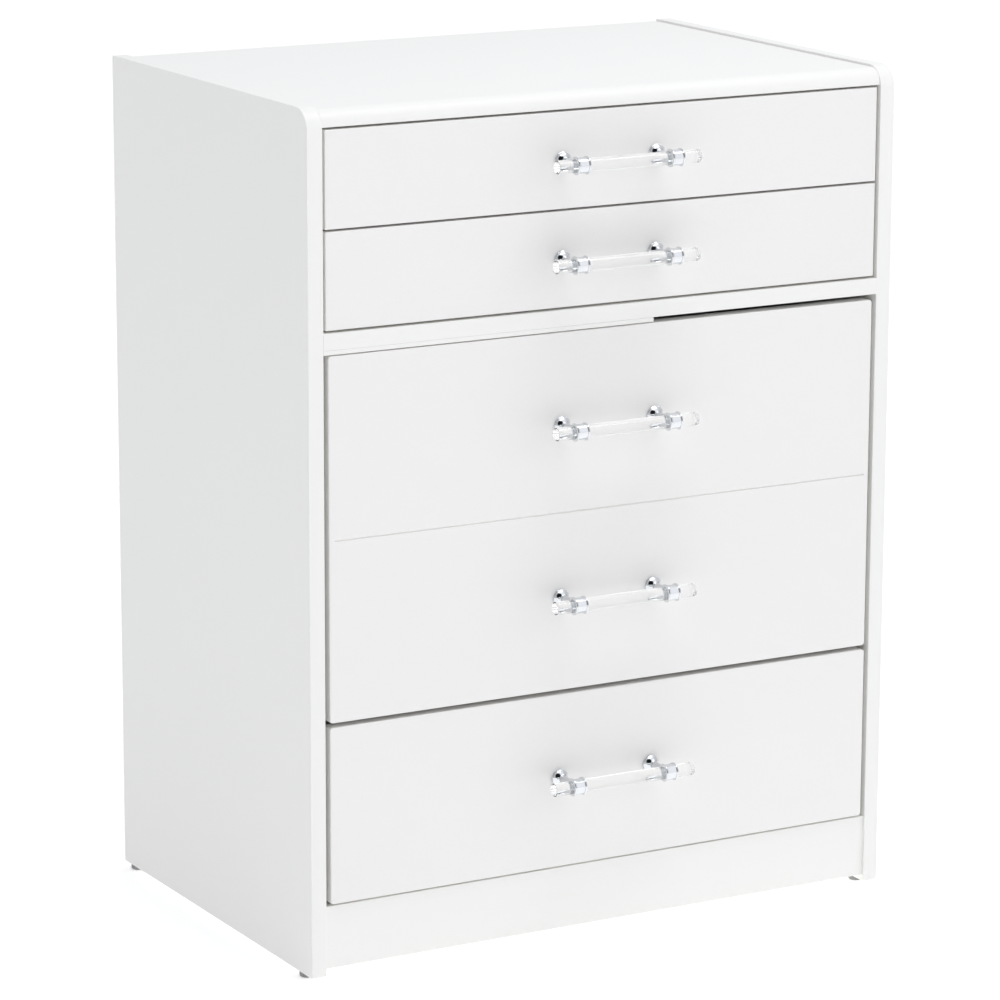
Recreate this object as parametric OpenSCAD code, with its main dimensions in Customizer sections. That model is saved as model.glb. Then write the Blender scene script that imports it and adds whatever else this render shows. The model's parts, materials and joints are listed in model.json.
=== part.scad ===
// Tall chest of drawers in white board. Two shallow drawers stand over a fixed shelf,
// then one deep drawer whose front is scored to look like two, then a bottom drawer.
// Origin: floor level, in the middle of the footprint with the pulls counted.
// X runs to the right, Y to the back and Z up. All sizes are in millimetres.

/* [Cabinet] */
// Overall width across the side panels
chest_w = 600; // [500:10:760]
// Depth of the side panels
chest_d = 395; // [325:5:500]
// Overall height from the floor to the top of the side panels
chest_h = 780; // [640:10:960]
// Thickness of the cabinet boards and of the drawer fronts
board_t = 15; // [12:0.5:20]
// How far the side panels stand past the top board, above it and in front of it
side_lip = 2; // [0:0.5:6]
// Radius of the side panels' front top corner
side_corner_r = 20; // [4:1:60]
// Flat strip left under the rounded front edge of the top board
nosing_flat = 1.5; // [0.5:0.5:4]
// Height of the plinth board's face
plinth_h = 58; // [40:1:90]
// Gap between the plinth board and the bottom of the side panels
plinth_lift = 6; // [0:1:20]
// How far the plinth board stands back from the side panels' front edges
plinth_recess = 2.5; // [0:0.5:10]
// Thickness of the back panel
back_t = 3; // [2.5:0.5:6]
// Distance from the back panel to the rear edges of the side panels
back_inset = 4; // [2:0.5:15]

/* [Drawer fronts] */
// Height of a shallow drawer front
shallow_front_h = 86; // [68:1:110]
// How far the shallow fronts stand back from the side panels' front edges
shallow_recess = 1.6; // [0:0.1:4]
// Gap at each end of a shallow front
shallow_side_gap = 3; // [1.5:0.5:5]
// Gap above and below a shallow front, and over the plinth board
slim_gap = 2; // [1.5:0.5:4]
// Gap at each end of a lower front
lower_side_gap = 4.5; // [2:0.5:7]
// Gap between the deep front and the bottom front
lower_gap = 4; // [2:0.5:6]
// Gap between the fixed shelf and the deep front
shelf_gap = 5; // [3:0.5:9]
// Radius of the lower fronts' corners
lower_corner_r = 3; // [1:0.5:10]
// Width of the scored line across the deep front
score_w = 2; // [1:0.5:4]
// Depth of the scored line
score_deep = 1.2; // [0.5:0.1:3]
// Distance from each end of the scored line to the front's ends
score_margin = 5; // [0:1:30]
// Length of the strip that closes the left part of the gap under the shelf
stop_strip_w = 331; // [100:1:400]
// Gap between that strip and the deep front's top edge
strip_gap = 1; // [0.5:0.1:2]

/* [Drawer boxes] */
// Thickness of the drawer box sides and backs
box_t = 12; // [9:0.5:15]
// Thickness of the drawer bases
base_t = 3; // [2.5:0.5:6]
// Distance from a box's lower edge to the underside of its base
base_up = 8; // [5:1:15]
// Distance from a shallow front's lower edge up to its box
shallow_box_lift = 9; // [6:1:14]
// Distance from a shallow front's top edge down to its box
shallow_box_drop = 17; // [8:1:20]
// Distance from a lower front's lower edge up to its box
lower_box_lift = 12; // [8:1:30]
// Distance from the deep front's top edge down to its box
deep_box_drop = 76; // [20:1:120]
// Distance from the bottom front's top edge down to its box
bottom_box_drop = 30; // [20:1:50]

/* [Runners] */
// Space between a drawer box and a side panel, which the runners fill
runner_space = 12.7; // [12.2:0.1:14]
// Height of the shallow drawers' runners
small_runner_h = 35; // [32:1:40]
// Height of the lower drawers' runners
big_runner_h = 45; // [42:1:55]
// Thickness of the runners' steel
runner_t = 1.2; // [1:0.1:1.5]
// Room for the balls between two nested rails
ball_room = 2.9; // [2:0.1:3.5]
// Height of the big runners' middle line over the box's lower edge
big_runner_up = 45; // [35:1:60]

/* [Pulls] */
// Distance between the two posts of a pull
pull_pitch = 96; // [64:32:160]
// Distance from a drawer front to the middle of the clear rod
pull_out = 32; // [26:1:45]
// Diameter of the clear rod
rod_d = 12; // [8:0.5:16]
// Length of rod past each post
rod_over = 24.5; // [12:0.5:40]
// How far the flanges of a post's collar stand out from the rod
ring_wall = 2.25; // [1.75:0.25:5]
// Diameter of the post
post_d = 7; // [6:0.5:10]
// Diameter of the post's domed base
post_base_d = 16.5; // [12:0.5:24]
// Distance from the deep front's top edge down to its upper pull
upper_pull_drop = 84; // [40:1:100]
// Distance from the scored line, or the bottom front's top edge, down to the pull below it
lower_pull_drop = 78; // [40:1:90]

/* [Feet and fasteners] */
// Height of the glides under the side panels
foot_h = 5; // [2:0.5:20]
// Diameter of a glide's disc
foot_d = 14; // [10:0.5:18]
// Distance from a front glide to the side panel's front edge
foot_front = 24; // [10:1:60]
// Distance from a rear glide to the side panel's rear edge
foot_back = 15; // [10:1:60]
// Diameter of the wooden dowels
dowel_d = 8; // [6:1:8]
// Diameter of the cam locks in the boards' undersides
cam_d = 15; // [12:0.5:18]
// Diameter of the runner screws' shanks
screw_d = 3.4; // [3:0.1:4]

/* [Hidden] */
$fn = 64;
drawer_names = ["top_drawer", "second_drawer", "deep_drawer", "bottom_drawer"];
piece_names = ["front", "left_side", "right_side", "back", "base", "pull_rod", "pull_posts",
               "pull_screws", "rails", "rail_screws"];
cabinet_nodes = ["left_side_panel", "right_side_panel", "top_panel", "fixed_shelf", "bottom_panel",
                 "plinth_board", "back_panel", "stop_strip", "foot_glides", "cam_locks", "cam_bolts",
                 "wood_dowels", "small_cabinet_rails", "big_cabinet_rails", "cabinet_rail_screws",
                 "deep_drawer_middle_rails", "bottom_drawer_middle_rails"];
drawers = [0:3];
shallow_drawers = [0:1];
lower_drawers = [2:3];
sides = [-1, 1];

// Clearances and small sizes
fit = 0.1;             // around dowels, cams, stems and shanks in their holes, on the diameter
play = 0.3;            // of a sheet in its groove
groove_deep = 5;       // of the grooves for the back panel and the drawer bases
skin = 5;              // board left behind a hole drilled into a side panel's inner face
cam_skin = 2.5;        // board left over a cam lock
past = 1;              // how far a cutting shape runs past the face that it cuts
joint_inset = 60;      // from the front and rear edges to the cam locks
dowel_step = 30;       // from a cam lock to the dowel beside it
cam_reach = 24;        // from a board's end to the middle of its cam lock
cam_bolt_d = 6;
cam_bolt_head_d = 7;
cam_bolt_head_l = 3;
cam_mouth_d = 8;       // of the hole that the cam bolt passes through
dowel_in_board = 20;
plinth_dowel_inset = 15;
foot_stem_d = 6;
foot_stem_l = 12;
foot_edge = 1;         // chamfer round the glide's sole
strip_deep = 12;       // of the stop strip, front to back
screw_head_d = 7;
screw_head_h = 1.4;
screw_l = 10;          // of a runner screw's shank
screw_end = 37;        // from a rail's ends to its outer screws
head_play = 0.6;       // between a screw's head and the rail that passes it
rail_hole_d = 4.2;
rail_setback = 1;      // from a drawer front's back face to its runners
runner_end_room = 6;   // behind the runners
rail_lip = 1.6;
rail_to_box = 1.5;     // from the middle rail's edges to the box side
pull_screw_d = 4;
pull_screw_hole_d = 4.5;
pull_screw_head_d = 8;
pull_screw_head_h = 2.6;
pull_screw_grip = 8;   // of the pull screw inside its post
flange_w = 2;
collar_shoulder = 0.8; // between the post and each flange
collar_wall = 1.2;     // of the collar between its flanges
collar_w = post_d + 2 * (collar_shoulder + flange_w);
collar_d = rod_d + 2 * collar_wall;
ring_d = rod_d + 2 * ring_wall;
dome_h = 4.5;
dome_step = 0.5;       // between the dome and the rim of its base
post_base_h = 1.5;
rod_edge = 0.8;

// The cabinet's planes
pull_reach = pull_out + ring_d / 2;
front_y = (pull_reach - chest_d) / 2;
back_y = front_y + chest_d;
inner_x = chest_w / 2 - board_t;
panel_z0 = foot_h;
top_z0 = chest_h - side_lip - board_t;
shelf_z0 = top_z0 - 3 * slim_gap - 2 * shallow_front_h - board_t;
plinth_z0 = foot_h + plinth_lift;
plinth_z1 = plinth_z0 + plinth_h;
bottom_z0 = plinth_z1 - board_t;
back_panel_y = back_y - back_inset - back_t;

// The drawer fronts, from the top down; the lower fronts share the height that is left
lower_front_h = (shelf_z0 - shelf_gap - plinth_z1 - slim_gap - 2 * lower_gap) / 3;
deep_front_h = 2 * lower_front_h + lower_gap;
front_h = [shallow_front_h, shallow_front_h, deep_front_h, lower_front_h];
front_z0 = [top_z0 - slim_gap - shallow_front_h,
            top_z0 - 2 * (slim_gap + shallow_front_h),
            shelf_z0 - shelf_gap - deep_front_h,
            plinth_z1 + slim_gap];
front_w = [for (k = drawers) 2 * (inner_x - (k < 2 ? shallow_side_gap : lower_side_gap))];
face_y = [for (k = drawers) front_y + (k < 2 ? shallow_recess : 0)];
front_back_y = [for (k = drawers) face_y[k] + board_t];
score_z = front_z0[2] + deep_front_h / 2;
pull_z = [[front_z0[0] + front_h[0] / 2],
          [front_z0[1] + front_h[1] / 2],
          [front_z0[2] + front_h[2] - upper_pull_drop, score_z - lower_pull_drop],
          [front_z0[3] + front_h[3] - lower_pull_drop]];

// The drawer boxes and their runners
box_lift = [shallow_box_lift, shallow_box_lift, lower_box_lift, lower_box_lift];
box_drop = [shallow_box_drop, shallow_box_drop, deep_box_drop, bottom_box_drop];
box_z0 = [for (k = drawers) front_z0[k] + box_lift[k]];
box_h = [for (k = drawers) front_h[k] - box_lift[k] - box_drop[k]];
box_x = inner_x - runner_space;
box_inner_x = box_x - box_t;
runner_step = 50;      // runners come in lengths this far apart
runner_l = runner_step * floor((back_panel_y - max(front_back_y) - runner_end_room) / runner_step);
box_l = runner_l + 2 * rail_setback;
runner_z = [for (k = drawers) box_z0[k] + (k < 2 ? box_h[k] / 2 : big_runner_up)];
runner_h = [small_runner_h, small_runner_h, big_runner_h, big_runner_h];
screw_run = [screw_end, runner_l / 2, runner_l - screw_end];
middle_rail_h = big_runner_h - 2 * (runner_t + ball_room);
inner_rail_h = [for (k = drawers) (k < 2 ? small_runner_h : middle_rail_h) - 2 * (runner_t + ball_room)];
head_stack = runner_t + screw_head_h + head_play;
inner_rail_w = [for (k = drawers) runner_space - head_stack - head_play - (k < 2 ? 0 : runner_t)];
outer_rail_w = runner_space - 2 * rail_lip;
middle_rail_w = runner_space - head_stack - rail_to_box;

// Joints between the boards and the side panels: the height of each board's underside
joint_boards = [top_z0, shelf_z0, bottom_z0];
cam_ys = [front_y + joint_inset, back_y - joint_inset];
dowel_ys = [front_y + joint_inset + dowel_step, back_y - joint_inset - dowel_step];
plinth_mid_y = front_y + plinth_recess + board_t / 2;
plinth_dowel_zs = [plinth_z0 + plinth_dowel_inset, plinth_z1 - plinth_dowel_inset];

white = [0.94, 0.94, 0.93];
steel = [0.72, 0.73, 0.75];
chrome = [0.85, 0.86, 0.88];
clear = [0.86, 0.93, 0.93, 0.45];
birch = [0.86, 0.76, 0.60];
grey = [0.55, 0.56, 0.57];

// A cylinder that lies along X from x0 to x1
module rod_x(x0, x1, d) {
    translate([x0, 0, 0])
        rotate([0, 90, 0])
            cylinder(d = d, h = x1 - x0);
}

// A flat outline in X and Z, extruded towards the back
module run_back(length) {
    translate([0, length, 0])
        rotate([90, 0, 0])
            linear_extrude(length)
                children();
}

// A rectangle about the origin with round corners
module round_rect(w, h, r) {
    square([w - 2 * r, h], center = true);
    square([w, h - 2 * r], center = true);
    for (sx = sides, sy = sides)
        translate([sx * (w / 2 - r), sy * (h / 2 - r)])
            circle(r);
}

// Children drawn for the right-hand side, turned over for side s = -1
module on_side(s) {
    mirror([s < 0 ? 1 : 0, 0, 0])
        children();
}

// Children repeated at every screw along both runners of drawer k
module at_runner_screws(k) {
    for (run = screw_run)
        translate([0, front_back_y[k] + rail_setback + run, runner_z[k]])
            children();
}

// Children repeated at every cam lock, at the middle of the board's thickness
module at_cams() {
    for (z = joint_boards, y = cam_ys)
        translate([0, y, z + board_t / 2])
            children();
}

// Children repeated at every dowel
module at_dowels() {
    for (z = joint_boards, y = dowel_ys)
        translate([0, y, z + board_t / 2])
            children();
    for (z = plinth_dowel_zs)
        translate([0, plinth_mid_y, z])
            children();
}

// Children repeated at every glide under one side panel
module at_glides() {
    for (y = [front_y + foot_front, back_y - foot_back])
        translate([inner_x + board_t / 2, y, 0])
            children();
}

module side_outline() {
    difference() {
        square([chest_d, chest_h - panel_z0]);
        translate([-past, chest_h - panel_z0 - side_corner_r])
            square([side_corner_r + past, side_corner_r + past]);
    }
    translate([side_corner_r, chest_h - panel_z0 - side_corner_r])
        circle(side_corner_r);
}

module side_panel(s) {
    color(white)
        on_side(s)
            difference() {
                translate([inner_x, front_y, panel_z0])
                    rotate([90, 0, 90])
                        linear_extrude(board_t)
                            side_outline();
                translate([inner_x - past, back_panel_y - play / 2, panel_z0 - past])
                    cube([groove_deep + past, back_t + play, top_z0 + groove_deep - panel_z0 + past]);
                at_cams()
                    rod_x(inner_x - past, inner_x + board_t - skin, cam_bolt_d);
                at_dowels()
                    rod_x(inner_x - past, inner_x + board_t - skin, dowel_d + fit);
                for (k = drawers)
                    at_runner_screws(k)
                        rod_x(inner_x - past, inner_x - runner_t + screw_l + play, screw_d + fit);
                at_glides()
                    translate([0, 0, panel_z0 - past])
                        cylinder(d = foot_stem_d + fit, h = foot_stem_l + play + past);
            }
}

// Drillings in both ends of a board whose underside is at height z
module board_end_holes(z) {
    for (s = sides)
        on_side(s) {
            for (y = cam_ys)
                translate([0, y, z]) {
                    translate([inner_x - cam_reach, 0, -past])
                        cylinder(d = cam_d, h = board_t - cam_skin + past);
                    translate([0, 0, board_t / 2])
                        rod_x(inner_x - cam_reach, inner_x + past, cam_mouth_d);
                }
            for (y = dowel_ys)
                translate([0, y, z + board_t / 2])
                    rod_x(inner_x - dowel_in_board - play, inner_x + past, dowel_d + fit);
        }
}

module nosed_outline() {
    nosing_r = board_t - nosing_flat;
    depth = chest_d - side_lip;
    difference() {
        square([depth, board_t]);
        translate([-past, nosing_flat])
            square([nosing_r + past, nosing_r + past]);
    }
    intersection() {
        translate([nosing_r, nosing_flat])
            circle(nosing_r);
        square([depth, board_t]);
    }
}

module top_panel() {
    color(white)
        difference() {
            translate([-inner_x, front_y + side_lip, top_z0])
                rotate([90, 0, 90])
                    linear_extrude(2 * inner_x)
                        nosed_outline();
            translate([-inner_x - past, back_panel_y - play / 2, top_z0 - past])
                cube([2 * (inner_x + past), back_t + play, groove_deep + past]);
            board_end_holes(top_z0);
        }
}

module fixed_shelf() {
    color(white)
        difference() {
            translate([-inner_x, front_y, shelf_z0])
                cube([2 * inner_x, back_panel_y - front_y, board_t]);
            board_end_holes(shelf_z0);
        }
}

module bottom_panel() {
    y0 = front_y + plinth_recess + board_t;
    color(white)
        difference() {
            translate([-inner_x, y0, bottom_z0])
                cube([2 * inner_x, back_panel_y - y0, board_t]);
            board_end_holes(bottom_z0);
        }
}

module plinth_board() {
    color(white)
        difference() {
            translate([-inner_x, front_y + plinth_recess, plinth_z0])
                cube([2 * inner_x, board_t, plinth_h]);
            for (s = sides, z = plinth_dowel_zs)
                on_side(s)
                    translate([0, plinth_mid_y, z])
                        rod_x(inner_x - dowel_in_board - play, inner_x + past, dowel_d + fit);
        }
}

module back_panel() {
    half = inner_x + groove_deep - play;
    color(white)
        translate([-half, back_panel_y, bottom_z0])
            cube([2 * half, back_t, top_z0 + groove_deep - play - bottom_z0]);
}

module stop_strip() {
    strip_h = shelf_gap - strip_gap;
    color(white)
        translate([-inner_x, front_y, shelf_z0 - strip_h])
            cube([stop_strip_w, strip_deep, strip_h]);
}

module foot_glides() {
    color(grey)
        for (s = sides)
            on_side(s)
                at_glides() {
                    cylinder(d1 = foot_d - 2 * foot_edge, d2 = foot_d, h = foot_edge);
                    translate([0, 0, foot_edge])
                        cylinder(d = foot_d, h = foot_h - foot_edge);
                    cylinder(d = foot_stem_d, h = foot_h + foot_stem_l);
                }
}

module cam_locks() {
    color(steel)
        for (s = sides)
            on_side(s)
                at_cams()
                    difference() {
                        translate([inner_x - cam_reach, 0, -board_t / 2])
                            cylinder(d = cam_d - fit, h = board_t - cam_skin - fit);
                        rod_x(inner_x - cam_reach - cam_bolt_head_l, inner_x, cam_mouth_d);
                    }
}

module cam_bolts() {
    head_x = inner_x - cam_reach - cam_bolt_head_l / 2;
    color(steel)
        for (s = sides)
            on_side(s)
                at_cams() {
                    rod_x(head_x, inner_x + board_t - skin - play, cam_bolt_d - fit);
                    rod_x(head_x, head_x + cam_bolt_head_l, cam_bolt_head_d);
                }
}

module wood_dowels() {
    color(birch)
        for (s = sides)
            on_side(s)
                at_dowels()
                    rod_x(inner_x - dowel_in_board, inner_x + board_t - skin - play, dowel_d);
}

// Section of a pressed steel rail: its web stands at x = 0 and its flanges point to +X
module rail_section(h, w, lip) {
    translate([0, -h / 2])
        square([runner_t, h]);
    for (up = [0, 1])
        mirror([0, up]) {
            translate([0, -h / 2])
                square([w, runner_t]);
            translate([w - runner_t, -h / 2])
                square([runner_t, runner_t + lip]);
        }
}

// The pair of rails that drawer k's runners screw to the side panels
module cabinet_rail_pair(k) {
    for (s = sides)
        on_side(s)
            difference() {
                translate([inner_x, front_back_y[k] + rail_setback, runner_z[k]])
                    mirror([1, 0, 0])
                        run_back(runner_l)
                            rail_section(runner_h[k], outer_rail_w, rail_lip);
                at_runner_screws(k)
                    rod_x(inner_x - runner_t - past, inner_x + past, rail_hole_d);
            }
}

module small_cabinet_rails() {
    color(steel)
        for (k = shallow_drawers)
            cabinet_rail_pair(k);
}

module big_cabinet_rails() {
    color(steel)
        for (k = lower_drawers)
            cabinet_rail_pair(k);
}

module middle_rails(k) {
    color(steel)
        for (s = sides)
            on_side(s)
                translate([inner_x - head_stack, front_back_y[k] + rail_setback, runner_z[k]])
                    mirror([1, 0, 0])
                        run_back(runner_l)
                            rail_section(middle_rail_h, middle_rail_w, rail_lip);
}

module drawer_rails(k) {
    color(steel)
        for (s = sides)
            on_side(s)
                difference() {
                    translate([box_x, front_back_y[k] + rail_setback, runner_z[k]])
                        run_back(runner_l)
                            rail_section(inner_rail_h[k], inner_rail_w[k], 0);
                    at_runner_screws(k)
                        rod_x(box_x - past, box_x + runner_t + past, rail_hole_d);
                }
}

// A pan-head screw along X: the head sits at x = 0 and the shank points to +X
module runner_screw() {
    rod_x(-screw_head_h, 0, screw_head_d);
    rod_x(-screw_head_h, screw_l, screw_d);
}

module cabinet_rail_screws() {
    color(steel)
        for (s = sides, k = drawers)
            on_side(s)
                at_runner_screws(k)
                    translate([inner_x - runner_t, 0, 0])
                        runner_screw();
}

module drawer_rail_screws(k) {
    color(steel)
        for (s = sides)
            on_side(s)
                at_runner_screws(k)
                    translate([box_x + runner_t, 0, 0])
                        mirror([1, 0, 0])
                            runner_screw();
}

// Children repeated at every post of drawer k's pulls, with +Z pointing out of the front
module at_posts(k) {
    for (z = pull_z[k], s = sides)
        translate([s * pull_pitch / 2, face_y[k], z])
            rotate([90, 0, 0])
                children();
}

module score_line() {
    length = front_w[2] - 2 * score_margin;
    translate([-length / 2, face_y[2], score_z])
        rotate([0, 90, 0])
            linear_extrude(length)
                polygon([[-score_w / 2, -past], [score_w / 2, -past], [score_w / 2, 0],
                         [0, score_deep], [-score_w / 2, 0]]);
}

module drawer_front(k) {
    half_groove = box_inner_x + groove_deep;
    color(white)
        difference() {
            translate([0, face_y[k], front_z0[k] + front_h[k] / 2])
                run_back(board_t)
                    if (k < 2)
                        square([front_w[k], front_h[k]], center = true);
                    else
                        round_rect(front_w[k], front_h[k], lower_corner_r);
            at_posts(k)
                translate([0, 0, -board_t - past])
                    cylinder(d = pull_screw_hole_d, h = board_t + 2 * past);
            translate([-half_groove, front_back_y[k] - groove_deep, box_z0[k] + base_up])
                cube([2 * half_groove, groove_deep + past, base_t + play]);
            if (k == 2)
                score_line();
        }
}

module drawer_side(k, s) {
    color(white)
        on_side(s)
            difference() {
                translate([box_inner_x, front_back_y[k], box_z0[k]])
                    cube([box_t, box_l, box_h[k]]);
                translate([box_inner_x - past, front_back_y[k] - past, box_z0[k] + base_up])
                    cube([groove_deep + past, box_l - box_t + groove_deep + past, base_t + play]);
                at_runner_screws(k)
                    rod_x(box_x + runner_t - screw_l - play, box_x + past, screw_d + fit);
            }
}

module drawer_back(k) {
    y0 = front_back_y[k] + box_l - box_t;
    color(white)
        difference() {
            translate([-box_inner_x, y0, box_z0[k]])
                cube([2 * box_inner_x, box_t, box_h[k]]);
            translate([-box_inner_x - past, y0 - past, box_z0[k] + base_up])
                cube([2 * (box_inner_x + past), groove_deep + past, base_t + play]);
        }
}

module drawer_base(k) {
    half = box_inner_x + groove_deep - play;
    y0 = front_back_y[k] - groove_deep + play;
    y1 = front_back_y[k] + box_l - box_t + groove_deep - play;
    color(white)
        translate([-half, y0, box_z0[k] + base_up + play / 2])
            cube([2 * half, y1 - y0, base_t]);
}

module pull_rod(k) {
    half = pull_pitch / 2 + rod_over;
    color(clear)
        for (z = pull_z[k])
            translate([-half, face_y[k] - pull_out, z])
                rotate([0, 90, 0]) {
                    cylinder(d1 = rod_d - 2 * rod_edge, d2 = rod_d, h = rod_edge);
                    translate([0, 0, rod_edge])
                        cylinder(d = rod_d, h = 2 * (half - rod_edge));
                    translate([0, 0, 2 * half - rod_edge])
                        cylinder(d1 = rod_d, d2 = rod_d - 2 * rod_edge, h = rod_edge);
                }
}

// Half section of a post and its domed base, to be spun round the post's axis
module post_outline() {
    dome_base_r = post_base_d / 2 - dome_step;
    dome_r = (dome_base_r * dome_base_r + dome_h * dome_h) / (2 * dome_h);
    square([post_base_d / 2, post_base_h]);
    square([post_d / 2, pull_out]);
    intersection() {
        translate([0, post_base_h + dome_h - dome_r])
            circle(dome_r);
        square([post_base_d / 2, post_base_h + dome_h]);
    }
}

// A post stands on its domed base and ends in the flanged collar that holds the rod
module pull_post() {
    difference() {
        union() {
            rotate_extrude()
                post_outline();
            translate([0, 0, pull_out]) {
                rod_x(-collar_w / 2, collar_w / 2, collar_d);
                rod_x(-collar_w / 2, -collar_w / 2 + flange_w, ring_d);
                rod_x(collar_w / 2 - flange_w, collar_w / 2, ring_d);
            }
        }
        translate([0, 0, pull_out])
            rod_x(-collar_w, collar_w, rod_d + fit);
        translate([0, 0, -past])
            cylinder(d = pull_screw_d + fit, h = pull_screw_grip + play + past);
    }
}

module pull_posts(k) {
    color(chrome)
        at_posts(k)
            pull_post();
}

module pull_screws(k) {
    color(steel)
        at_posts(k) {
            translate([0, 0, -board_t - pull_screw_head_h])
                cylinder(d = pull_screw_head_d, h = pull_screw_head_h);
            translate([0, 0, -board_t])
                cylinder(d = pull_screw_d, h = board_t + pull_screw_grip);
        }
}

side_panel(-1);  // left_side_panel
side_panel(1);  // right_side_panel
top_panel();
fixed_shelf();
bottom_panel();
plinth_board();
back_panel();
stop_strip();
foot_glides();
cam_locks();
cam_bolts();
wood_dowels();
small_cabinet_rails();
big_cabinet_rails();
cabinet_rail_screws();
for (k = lower_drawers)
    middle_rails(k);
for (k = drawers) {
    drawer_front(k);
    drawer_side(k, -1);
    drawer_side(k, 1);
    drawer_back(k);
    drawer_base(k);
    pull_rod(k);
    pull_posts(k);
    pull_screws(k);
    drawer_rails(k);
    drawer_rail_screws(k);
}
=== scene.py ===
# A white chest of drawers with clear rod pulls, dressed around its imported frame.
import json
import math
import bpy
import bmesh
from mathutils import Matrix, Quaternion, Vector


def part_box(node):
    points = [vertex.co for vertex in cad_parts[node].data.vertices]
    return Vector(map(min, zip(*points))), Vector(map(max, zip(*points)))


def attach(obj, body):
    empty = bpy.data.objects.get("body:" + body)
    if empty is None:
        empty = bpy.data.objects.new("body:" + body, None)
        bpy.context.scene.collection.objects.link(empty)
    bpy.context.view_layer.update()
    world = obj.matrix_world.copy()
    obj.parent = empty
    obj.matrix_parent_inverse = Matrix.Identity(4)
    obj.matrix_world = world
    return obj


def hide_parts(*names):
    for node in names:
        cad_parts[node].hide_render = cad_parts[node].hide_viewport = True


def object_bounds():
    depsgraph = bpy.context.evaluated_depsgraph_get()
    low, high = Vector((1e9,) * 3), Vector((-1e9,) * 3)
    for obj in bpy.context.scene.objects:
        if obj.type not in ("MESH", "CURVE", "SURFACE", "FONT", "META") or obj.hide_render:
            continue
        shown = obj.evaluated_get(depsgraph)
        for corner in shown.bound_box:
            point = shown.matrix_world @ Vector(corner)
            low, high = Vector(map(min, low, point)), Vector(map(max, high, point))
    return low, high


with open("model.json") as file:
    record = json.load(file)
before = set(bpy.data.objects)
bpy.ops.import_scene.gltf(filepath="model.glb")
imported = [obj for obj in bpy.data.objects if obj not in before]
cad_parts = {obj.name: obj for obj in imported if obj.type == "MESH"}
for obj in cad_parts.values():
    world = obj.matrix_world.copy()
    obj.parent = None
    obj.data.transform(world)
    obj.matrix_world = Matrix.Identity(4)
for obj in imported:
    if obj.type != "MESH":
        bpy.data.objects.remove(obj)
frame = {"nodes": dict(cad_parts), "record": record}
nodes = frame["nodes"]
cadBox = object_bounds()
bodyOf = {node: body for body, names in frame["record"]["behaviour"]["bodies"].items() for node in names}
drawerNames = ["top_drawer", "second_drawer", "deep_drawer", "bottom_drawer"]
mm = 0.001
print("frame loaded:", len(nodes), "nodes")

studio = {
    "azimuth": -29.34,          # degrees round from the front, seen from the left
    "elevation": 13.14,         # degrees above the horizon
    "distance": 4.217,          # metres from the aim point
    "aimOffset": (-0.0105, 0.001, -0.018),  # metres from the middle of the chest
    "roll": 0.2,                # degrees
    "lens": 163.1,              # mm
    "sensor": 36.0,             # mm wide
    "farthest": 100.0,          # metres that the camera sees
}
sky = {
    "colour": "F8F9FD",
    "strength": 1.16,
    "seenStrength": 1.12,       # as the camera itself sees it, which keeps the ground plain white
    "leftShare": 0.50,          # of the lighting strength at the far left
    "leftFade": (-1.0, 0.3),    # sideways from the far left, -1, to where the left is at full strength
    "rightShare": 0.50,         # of that at the far right
    "rightFade": (0.5, 1.0),    # sideways from full strength to the far right, 1
    "backShare": 0.72,          # of that behind the chest
    "backFade": (0.0, 0.9),     # backwards from full strength to where the back is dimmest
    "darkShare": 0.02,          # of that behind the camera, where the room is unlit
    "darkElevation": 26.0,      # degrees, a little above the camera
    "darkInner": 28.0,          # degrees from the middle of that unlit end
    "darkOuter": 34.0,
    "diffuseBounces": 16,       # light finds its way deep into the gaps between white boards
    "glossyBounces": 16,        # and back and forth inside a clear rod
    "allBounces": 24,
}
softBoxes = {                   # name: (place, size in metres, watts), each aimed at the chest
    "overhead": ((0.3, -0.8, 2.6), (2.0, 0.5), 15),
    "right": ((2.3, -2.4, 1.5), (0.5, 1.3), 3),
}
floorSheet = {
    "size": 60.0,               # metres
    "colours": ("F6F6F6", "FAFAFA"),
    "patch": 400.0,             # mm across the sheet's faint cloudiness
    "roughness": 0.85,
    "glow": 0.37,               # light coming up through the sheet
}


def hexToLinear(code):
    channels = [int(code[i:i + 2], 16) / 255 for i in (0, 2, 4)]
    return [c / 12.92 if c <= 0.04045 else ((c + 0.055) / 1.055) ** 2.4 for c in channels] + [1.0]


def addNode(tree, kind, settings=(), links=()):
    node = tree.nodes.new("ShaderNode" + kind)
    for name, value in dict(settings).items():
        setattr(node, name, value)
    for name, source in dict(links).items():
        if isinstance(source, bpy.types.NodeSocket):
            tree.links.new(source, node.inputs[name])
        else:
            node.inputs[name].default_value = source
    return node


def startMaterial(name, sockets):
    material = bpy.data.materials.new(name)
    material.use_nodes = True
    tree = material.node_tree
    shader = tree.nodes["Principled BSDF"]
    for socket, value in sockets.items():
        shader.inputs[socket].default_value = value
    place = addNode(tree, "TexCoord").outputs["Object"]
    return material, tree, shader, place


def toward(azimuth, elevation):
    azimuth, elevation = math.radians(azimuth), math.radians(elevation)
    return Vector((math.sin(azimuth) * math.cos(elevation),
                   -math.cos(azimuth) * math.cos(elevation),
                   math.sin(elevation)))


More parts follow.
